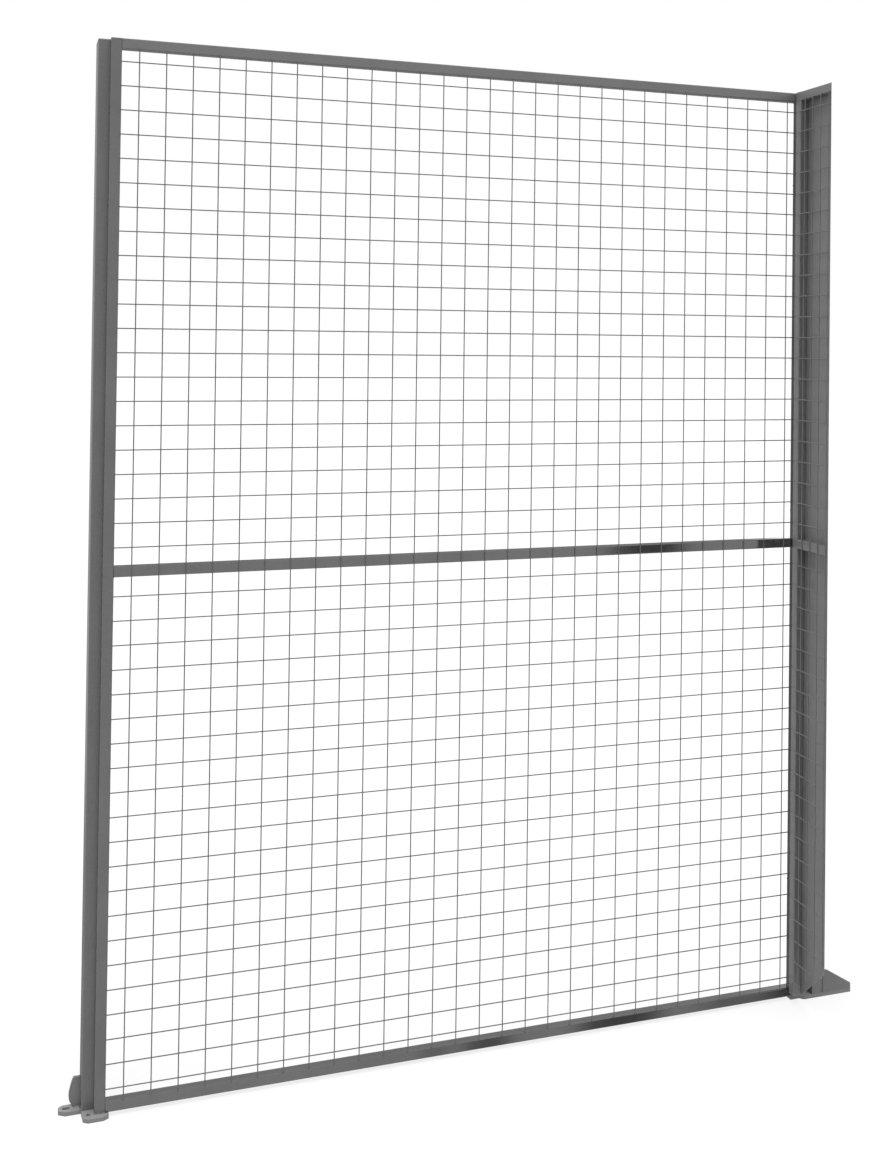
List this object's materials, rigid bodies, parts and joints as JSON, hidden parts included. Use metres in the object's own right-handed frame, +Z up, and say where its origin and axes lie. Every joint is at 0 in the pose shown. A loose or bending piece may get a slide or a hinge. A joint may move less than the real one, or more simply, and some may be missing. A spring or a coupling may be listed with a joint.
{
  "type": "machine guard fence panel",
  "caption": "Guard fence panel: a square-tube frame faced with welded wire mesh, lapped over a floor post at the left, with a narrow backed wing and an outrigger foot at the right.",
  "frame": {"origin": "on the floor, under the centre of the post, on the underside of its foot plate", "axes": "+X along the panel towards the wing, +Y towards the machine side (the post stands behind the panel), +Z up"},
  "size_m": [1.691, 0.235, 2.008],
  "materials": {
    "frame_steel": "smooth satin grey",
    "wire": "smooth satin grey"
  },
  "bodies": {
    "root": {"panel_stile_left": "frame_steel", "panel_stile_right": "frame_steel", "panel_rail_top": "frame_steel", "panel_rail_mid": "frame_steel", "panel_rail_bottom": "frame_steel", "panel_end_plates": "frame_steel", "mesh_upper_left": "wire", "mesh_upper_right": "wire", "mesh_lower_left": "wire", "mesh_lower_right": "wire", "post_tube": "frame_steel", "post_cap": "frame_steel", "post_foot_plate": "frame_steel", "post_foot_gusset": "frame_steel", "outrigger_plate": "frame_steel", "outrigger_bracket": "frame_steel", "outrigger_gusset": "frame_steel", "wing_stile": "frame_steel", "wing_rail_top": "frame_steel", "wing_rail_mid": "frame_steel", "wing_end_plates": "frame_steel", "wing_mesh_upper": "wire", "wing_mesh_lower": "wire", "wing_sheet": "frame_steel", "wing_spacers": "frame_steel"}
  },
  "joints": []
}
